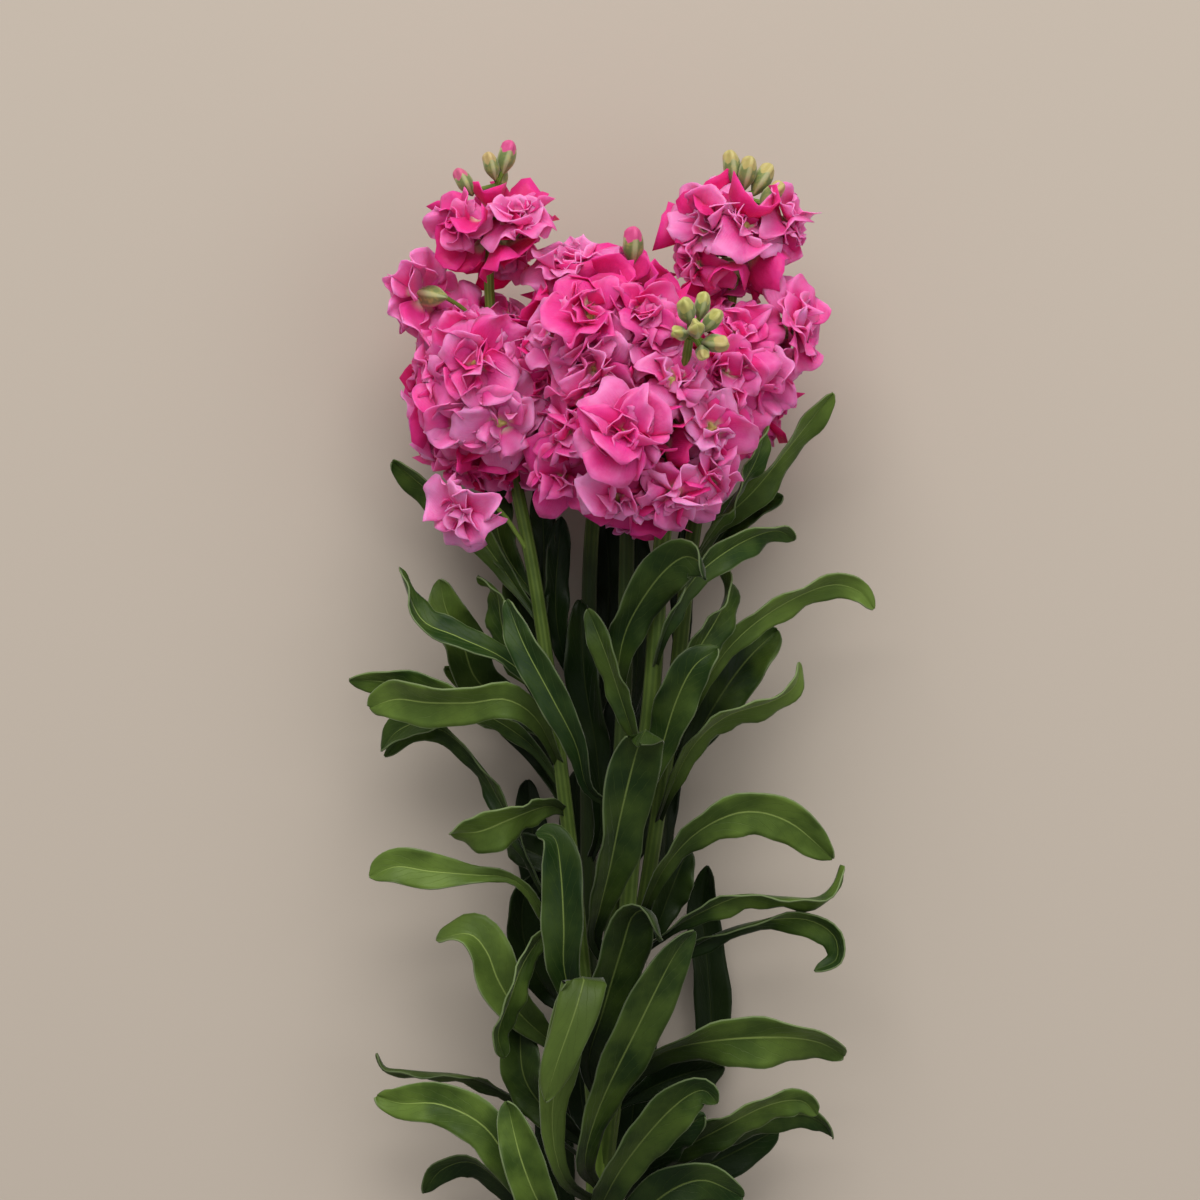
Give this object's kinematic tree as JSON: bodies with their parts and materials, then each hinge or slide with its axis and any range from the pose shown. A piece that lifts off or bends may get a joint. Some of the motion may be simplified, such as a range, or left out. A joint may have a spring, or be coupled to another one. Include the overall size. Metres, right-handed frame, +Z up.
{
  "type": "stock flower stem",
  "caption": "Cut stem of double-flowered stock, branching low into flowering spikes of ruffled pink florets and buds, clothed in long blunt leaves, lying flat.",
  "frame": {"origin": "centre of the bounding box's underside, on the surface the stem lies on", "axes": "+Y from the cut end towards the flower heads, +Z up away from the surface, +X to the right as seen from above"},
  "size_m": [0.177, 0.5026, 0.1116],
  "materials": {
    "stem": "matt fresh green stem",
    "leaf": "matt dark green leaf with fine down",
    "petal": "soft satin pink petal"
  },
  "bodies": {
    "root": {"branched_stem": "stem", "raceme_front": "petal", "raceme_centre": "petal", "raceme_left": "petal", "raceme_right": "petal", "raceme_back": "petal", "raceme_left_top": "petal", "raceme_right_top": "petal", "bloom_left_side": "petal", "bloom_left_low": "petal", "bloom_right_side": "petal", "bloom_right_top": "petal", "leaf_left_01": "leaf", "leaf_left_02": "leaf", "leaf_left_03": "leaf", "leaf_left_04": "leaf", "leaf_left_05": "leaf", "leaf_left_06": "leaf", "leaf_left_07": "leaf", "leaf_left_08": "leaf", "leaf_left_09": "leaf", "leaf_left_10": "leaf", "leaf_left_11": "leaf", "leaf_left_12": "leaf", "leaf_left_13": "leaf", "leaf_left_14": "leaf", "leaf_left_15": "leaf", "leaf_left_16": "leaf", "leaf_left_17": "leaf", "leaf_left_18": "leaf", "leaf_left_19": "leaf", "leaf_front_01": "leaf", "leaf_front_02": "leaf", "leaf_front_03": "leaf", "leaf_front_04": "leaf", "leaf_front_05": "leaf", "leaf_front_06": "leaf", "leaf_front_07": "leaf", "leaf_front_08": "leaf", "leaf_front_09": "leaf", "leaf_front_10": "leaf", "leaf_right_01": "leaf", "leaf_right_02": "leaf", "leaf_right_03": "leaf", "leaf_right_04": "leaf", "leaf_right_05": "leaf", "leaf_right_06": "leaf", "leaf_right_07": "leaf", "leaf_right_08": "leaf", "leaf_right_09": "leaf", "leaf_right_10": "leaf", "leaf_right_11": "leaf", "leaf_right_12": "leaf", "leaf_right_13": "leaf", "leaf_right_14": "leaf", "leaf_right_15": "leaf", "leaf_right_16": "leaf", "leaf_low_01": "leaf", "leaf_low_02": "leaf", "leaf_low_03": "leaf"}
  },
  "joints": []
}
